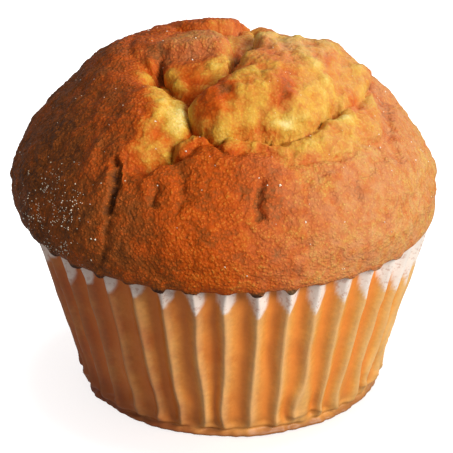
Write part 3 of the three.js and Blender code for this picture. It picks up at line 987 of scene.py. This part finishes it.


def baked_corn_crust():
    """Corn batter baked in a tin: matt, sugary crust that browned unevenly, and open yellow crumb.

    Melted sugar leaves the crust a little glossy in its pores; light sinks into the torn crumb.
    """
    finish, tree = new_finish("baked_corn_crust")
    place = add_node(tree, "ShaderNodeTexCoord").outputs["Object"]
    # This attribute holds the baked colour with painted shade in cracks, holes and pits and on the dome's
    # left, and one painted highlight.
    browning_and_shade = add_node(tree, "ShaderNodeAttribute", {"attribute_name": "browning_and_shade"}).outputs["Fac"]
    torn = add_node(tree, "ShaderNodeAttribute", {"attribute_name": "torn"}).outputs["Fac"]

    # Meal grains about 0.5 mm across, pushed out of shape: 0 on the tip of each.
    push = add_node(
        tree, "ShaderNodeTexNoise", {"Scale": per_metre(0.7), "Detail": 2.0}, {"Vector": place}
    ).outputs["Color"]
    pushed = add_node(
        tree, "ShaderNodeVectorMath", {"operation": "MULTIPLY_ADD", 1: [0.45 * MM] * 3}, {0: push, 2: place}
    ).outputs[0]
    grain = add_node(
        tree, "ShaderNodeTexVoronoi", {"feature": "SMOOTH_F1", "Scale": per_metre(0.5), "Smoothness": 0.4},
        {"Vector": pushed},
    ).outputs["Distance"]

    # Patches about 1.6 mm across that browned more or less, and pores of 0.85 mm and finer.
    mottle = add_node(
        tree, "ShaderNodeTexNoise", {"Scale": per_metre(1.6), "Detail": 5.0, "Roughness": 0.62},
        {"Vector": place},
    ).outputs["Fac"]
    pores = add_node(
        tree, "ShaderNodeTexNoise", {"Scale": per_metre(0.85), "Detail": 5.0, "Roughness": 0.72},
        {"Vector": place},
    ).outputs["Fac"]

    # All three shift the browning: the joints of the grains are browner, and so are the pores. The
    # torn crumb is calmer than the crust in this, and in its relief.
    by_grain = add_node(
        tree, "ShaderNodeMapRange", {"From Min": 0.1, "From Max": 0.6, "To Min": -0.05, "To Max": 0.07},
        {"Value": grain},
    ).outputs["Result"]
    by_mottle = add_node(
        tree, "ShaderNodeMapRange", {"From Min": 0.3, "From Max": 0.7, "To Min": -0.05, "To Max": 0.05},
        {"Value": mottle},
    ).outputs["Result"]
    by_pores = add_node(
        tree, "ShaderNodeMapRange", {"From Min": 0.3, "From Max": 0.7, "To Min": 0.04, "To Max": -0.10},
        {"Value": pores},
    ).outputs["Result"]
    uneven = add_node(tree, "ShaderNodeMath", {"operation": "ADD"}, {0: by_grain, 1: by_mottle}).outputs[0]
    uneven = add_node(tree, "ShaderNodeMath", {"operation": "ADD"}, {0: uneven, 1: by_pores}).outputs[0]
    calm = add_node(
        tree, "ShaderNodeMapRange", {"To Min": 1.0, "To Max": 0.55}, {"Value": torn}
    ).outputs["Result"]
    uneven = add_node(tree, "ShaderNodeMath", {"operation": "MULTIPLY"}, {0: uneven, 1: calm}).outputs[0]
    baked = add_node(tree, "ShaderNodeMath", {"operation": "ADD"}, {0: browning_and_shade, 1: uneven}).outputs[0]

    # Over the baked colour lies the haze of sugar, with a painted sheen on the lit right side and on the tops.
    haze_and_sheen = add_node(tree, "ShaderNodeAttribute", {"attribute_name": "haze_and_sheen"}).outputs["Fac"]
    colour = add_node(
        tree, "ShaderNodeMixRGB", {"Color2": linear(SUGAR_HAZE_AND_SHEEN)},
        {"Fac": haze_and_sheen, "Color1": colour_scale(tree, baked, BROWNING)},
    ).outputs[0]

    # Painted highlight on the tip of each grain, as if it catches the light: strong in some places and hardly
    # there in others.
    tip_highlight = add_node(
        tree, "ShaderNodeMapRange", {"From Min": 0.08, "From Max": 0.36, "To Min": 0.72, "To Max": 0.0},
        {"Value": grain},
    ).outputs["Result"]
    strength = add_node(
        tree, "ShaderNodeMapRange", {"From Min": 0.40, "From Max": 0.60, "To Min": 0.1, "To Max": 1.0},
        {"Value": pores},
    ).outputs["Result"]
    tip_highlight = add_node(tree, "ShaderNodeMath", {"operation": "MULTIPLY"}, {0: tip_highlight, 1: strength}).outputs[0]
    tip_highlight = add_node(tree, "ShaderNodeMath", {"operation": "MULTIPLY"}, {0: tip_highlight, 1: calm}).outputs[0]
    colour = add_node(
        tree, "ShaderNodeMixRGB", {"blend_type": "SCREEN", "Color2": linear(GRAIN_TIP_HIGHLIGHT)},
        {"Fac": tip_highlight, "Color1": colour},
    ).outputs[0]

    # The relief that the mesh is too coarse for: the meal grains, and the pores with their fine detail.
    bump = add_node(
        tree, "ShaderNodeBump", {"invert": True, "Distance": 0.22 * MM}, {"Height": grain, "Strength": calm}
    ).outputs["Normal"]
    bump = add_node(
        tree, "ShaderNodeBump", {"Distance": 0.26 * MM}, {"Height": pores, "Normal": bump, "Strength": calm}
    ).outputs["Normal"]
    rough = add_node(
        tree, "ShaderNodeMapRange", {"From Min": 0.3, "From Max": 0.7, "To Min": 0.42, "To Max": 0.72},
        {"Value": pores},
    ).outputs["Result"]
    depth_lit = add_node(
        tree, "ShaderNodeMapRange", {"To Min": 0.1, "To Max": 0.35}, {"Value": torn}
    ).outputs["Result"]
    shader = add_node(
        tree, "ShaderNodeBsdfPrincipled",
        {"IOR": 1.45, "Specular IOR Level": 0.12, "Subsurface Scale": 1.0 * MM,
         "Subsurface Radius": (1.0, 0.55, 0.2)},
        {"Base Color": colour, "Roughness": rough, "Normal": bump, "Subsurface Weight": depth_lit},
    )
    add_node(tree, "ShaderNodeOutputMaterial", {}, {"Surface": shader.outputs[0]})
    return finish


# Scales of colour along `pale`: their darker left ends are partly painted shade, their paler right ends partly
# painted light.
SOAKED_PAPER = [(0.0, "B04A0C"), (0.2, "C0601A"), (0.5, "E8A04C"), (0.8, "E6A84E"), (1.0, "E8B464")]
VALLEY_SOAK_AND_SHADE = "E67A26"  # butter gathered in the valleys, with painted shade there
# paler crests: less butter, and a painted highlight
PAPER_CREST_AND_HIGHLIGHT = [(0.1, "C07C48"), (0.5, "F0C08C"), (0.9, "EFC494")]
DRY_PAPER = [(0.1, "FAE6D8"), (0.5, "FAEAE0"), (0.85, "F8EEE6")]
GREASE_FRECKLE = "B86A48"
SCORCHED_AND_SHADED_PAPER = "7A3814"


def greased_baking_paper():
    """Thin bleached baking paper, pressed into pleats: butter made it amber, save where it stayed dry.

    Each scale of colours runs with `pale`, from the heavily soaked left side to the paler right side; the
    darker left is partly painted shade and the paler right partly painted light.
    """
    finish, tree = new_finish("greased_baking_paper")
    place = add_node(tree, "ShaderNodeTexCoord").outputs["Object"]
    dry = add_node(tree, "ShaderNodeAttribute", {"attribute_name": "dry"}).outputs["Fac"]
    crest = add_node(tree, "ShaderNodeAttribute", {"attribute_name": "crest"}).outputs["Fac"]
    low_edge = add_node(tree, "ShaderNodeAttribute", {"attribute_name": "low_edge"}).outputs["Fac"]
    pale = add_node(tree, "ShaderNodeAttribute", {"attribute_name": "pale"}).outputs["Fac"]

    # The butter soaked in as clouds about 6 mm across. The flecks of the paper's fibres, really about
    # 0.1 mm across, are drawn 0.8 mm across so that they show.
    cloud = add_node(
        tree, "ShaderNodeTexNoise", {"Scale": per_metre(6.0), "Detail": 4.0, "Roughness": 0.6},
        {"Vector": place},
    ).outputs["Fac"]
    fleck = add_node(
        tree, "ShaderNodeTexNoise", {"Scale": per_metre(0.8), "Detail": 3.0, "Roughness": 0.6},
        {"Vector": place},
    ).outputs["Fac"]
    tone = add_node(
        tree, "ShaderNodeMapRange", {"From Min": 0.25, "From Max": 0.75, "To Min": -0.2, "To Max": 0.2},
        {"Value": cloud},
    ).outputs["Result"]
    tone = add_node(tree, "ShaderNodeMath", {"operation": "ADD"}, {0: tone, 1: pale}).outputs[0]
    soaked = colour_scale(tree, tone, SOAKED_PAPER)
    flecked = add_node(
        tree, "ShaderNodeMapRange", {"From Min": 0.35, "From Max": 0.65, "To Min": 0.88, "To Max": 1.06},
        {"Value": fleck},
    ).outputs["Result"]
    soaked = add_node(
        tree, "ShaderNodeVectorMath", {"operation": "SCALE"}, {0: soaked, "Scale": flecked}
    ).outputs[0]

    # Deeper amber in the valleys, from butter and painted shade; paler along the crests, from less butter and
    # a painted highlight.
    deep = add_node(
        tree, "ShaderNodeMapRange", {"From Min": 0.0, "From Max": 0.6, "To Min": 0.75, "To Max": 0.0},
        {"Value": crest},
    ).outputs["Result"]
    ridge = add_node(
        tree, "ShaderNodeMapRange", {"From Min": 0.35, "From Max": 1.0, "To Min": 0.0, "To Max": 0.45},
        {"Value": crest},
    ).outputs["Result"]
    crest_colour = colour_scale(tree, pale, PAPER_CREST_AND_HIGHLIGHT)
    colour = add_node(
        tree, "ShaderNodeMixRGB", {"Color2": linear(VALLEY_SOAK_AND_SHADE)}, {"Fac": deep, "Color1": soaked}
    ).outputs[0]
    colour = add_node(
        tree, "ShaderNodeMixRGB", {}, {"Fac": ridge, "Color1": colour, "Color2": crest_colour}
    ).outputs[0]

    # Scorch marks along the bottom edge, and painted shade low on the left.
    scorched_and_shaded = add_node(
        tree, "ShaderNodeMapRange", {"To Max": 0.8}, {"Value": low_edge}
    ).outputs["Result"]
    colour = add_node(
        tree, "ShaderNodeMixRGB", {"Color2": linear(SCORCHED_AND_SHADED_PAPER)}, {"Fac": scorched_and_shaded, "Color1": colour}
    ).outputs[0]

    # The dry patches stayed white, with freckles of grease.
    freckle = add_node(
        tree, "ShaderNodeMapRange", {"From Min": 0.36, "From Max": 0.46, "To Min": 0.4, "To Max": 0.0},
        {"Value": fleck},
    ).outputs["Result"]
    dry_colour = add_node(
        tree, "ShaderNodeMixRGB", {"Color2": linear(GREASE_FRECKLE)},
        {"Fac": freckle, "Color1": colour_scale(tree, pale, DRY_PAPER)},
    ).outputs[0]
    colour = add_node(
        tree, "ShaderNodeMixRGB", {}, {"Fac": dry, "Color1": colour, "Color2": dry_colour}
    ).outputs[0]

    # The slight gloss of grease, broken up by the fibres.
    bump = add_node(
        tree, "ShaderNodeBump", {"Strength": 0.5, "Distance": 0.10 * MM}, {"Height": fleck}
    ).outputs["Normal"]
    shader = add_node(
        tree, "ShaderNodeBsdfPrincipled",
        {"IOR": 1.48, "Specular IOR Level": 0.4, "Roughness": 0.45},
        {"Base Color": colour, "Normal": bump},
    )
    add_node(tree, "ShaderNodeOutputMaterial", {}, {"Surface": shader.outputs[0]})
    return finish


CRYSTAL_COLOURS = [(0.35, "E2CBA6"), (0.55, "F4E8D4"), (0.75, "FFF9EE")]


def white_sugar():
    """Crystals of white sugar, clear but broken on every side, so that they look white and glint."""
    finish, tree = new_finish("white_sugar")
    place = add_node(tree, "ShaderNodeTexCoord").outputs["Object"]
    # From one crystal to the next, about 0.3 mm, more or less of the crust's colour shows through.
    cloud = add_node(
        tree, "ShaderNodeTexNoise", {"Scale": per_metre(0.3), "Detail": 2.0}, {"Vector": place}
    ).outputs["Fac"]
    colour = colour_scale(tree, cloud, CRYSTAL_COLOURS)
    shader = add_node(
        tree, "ShaderNodeBsdfPrincipled", {"Roughness": 0.25, "IOR": 1.54}, {"Base Color": colour}
    )
    add_node(tree, "ShaderNodeOutputMaterial", {}, {"Surface": shader.outputs[0]})
    return finish


def matt_white_board():
    """Painted board, plain and matt, so that only the muffin and its shadow show on it."""
    finish, tree = new_finish("matt_white_board")
    shader = add_node(
        tree, "ShaderNodeBsdfPrincipled", {"Base Color": linear("FAFAFA"), "Roughness": 0.6}
    )
    add_node(tree, "ShaderNodeOutputMaterial", {}, {"Surface": shader.outputs[0]})
    return finish


# ---------------------------------------------------------------------------------------------------
# Studio
# ---------------------------------------------------------------------------------------------------

AIM = Vector((-0.76, 0.0, 26.6)) * MM  # what the camera and the lamps point at
CAMERA_DISTANCE = 0.600
CAMERA_TILT = math.radians(25.6)
LENS_MM = 282.8
SENSOR_MM = 36.0
NEAREST_SEEN = 0.01
FLOOR_HALF_SIDE = 3.0
ROOM_LIGHT = 0.33

# Each lamp's place and the width of its disc in metres, its power in watts and its colour. The key light
# comes from the front right, and the back light lifts the far edge of the dome. The last two light the
# floor alone, which keeps it pale; the wash casts no shadow, so the muffin's own shadow stays soft.
KEY = {"place": (0.56, -0.50, 0.48), "size": 0.45, "power": 8.6, "colour": "FFFEFA"}
BACK = {"place": (0.45, 0.62, 0.50), "size": 0.50, "power": 2.6, "colour": "FFFFFF"}
BOARD = {"place": (0.14, 0.10, 1.0), "size": 0.60, "power": 6.0, "colour": "FFFFFF"}
WASH = {"place": (0.0, 0.0, 1.2), "size": 0.90, "power": 13.5, "colour": "FFFFFF"}


def make_camera():
    camera = bpy.data.objects.new("camera", bpy.data.cameras.new("camera"))
    bpy.context.scene.collection.objects.link(camera)
    camera.data.lens = LENS_MM
    camera.data.sensor_width = SENSOR_MM
    camera.data.clip_start = NEAREST_SEEN
    back = Vector((0, -math.cos(CAMERA_TILT), math.sin(CAMERA_TILT)))
    camera.location = AIM + CAMERA_DISTANCE * back
    camera.rotation_euler = (math.pi / 2 - CAMERA_TILT, 0, 0)
    bpy.context.scene.camera = camera


def make_floor():
    half = FLOOR_HALF_SIDE
    corners = [(-half, -half, 0), (half, -half, 0), (half, half, 0), (-half, half, 0)]
    mesh = bpy.data.meshes.new("floor")
    mesh.from_pydata(corners, [], [(0, 1, 2, 3)])
    mesh.materials.append(matt_white_board())
    floor = bpy.data.objects.new("floor", mesh)
    bpy.context.scene.collection.objects.link(floor)
    floor.visible_diffuse = False  # the board throws no light back up onto the muffin
    floor.visible_glossy = False
    return floor


def add_softbox(name, place, size, power, colour):
    lamp = bpy.data.objects.new(name, bpy.data.lights.new(name, "AREA"))
    bpy.context.scene.collection.objects.link(lamp)
    lamp.data.shape = "DISK"
    lamp.data.size = size
    lamp.data.energy = power
    lamp.data.color = linear(colour)[:3]
    lamp.location = place
    lamp.rotation_euler = (AIM - Vector(place)).to_track_quat("-Z", "Y").to_euler()
    return lamp


def light_only(name, lamps, lit):
    """Lets these lamps light these objects and nothing else."""
    receivers = bpy.data.collections.new(name)
    for piece in lit:
        receivers.objects.link(piece)
    for lamp in lamps:
        lamp.light_linking.receiver_collection = receivers


def make_lights(floor, pieces):
    key = add_softbox("key_softbox", **KEY)
    back = add_softbox("back_softbox", **BACK)
    board = add_softbox("board_softbox", **BOARD)
    wash = add_softbox("board_wash", **WASH)
    wash.data.use_shadow = False
    light_only("board_only", [board, wash], [floor])
    light_only("muffin_only", [key, back], pieces)
    world = bpy.data.worlds.new("studio")
    world.use_nodes = True
    world.node_tree.nodes["Background"].inputs["Color"].default_value = linear("FFFFFF")
    world.node_tree.nodes["Background"].inputs["Strength"].default_value = ROOM_LIGHT
    bpy.context.scene.world = world
    bpy.context.scene.view_settings.view_transform = "Standard"
    bpy.context.scene.view_settings.look = "None"


make_camera()
muffin = make_muffin()
pieces = [muffin, make_paper_cup(), make_sugar(muffin)]
make_lights(make_floor(), pieces)
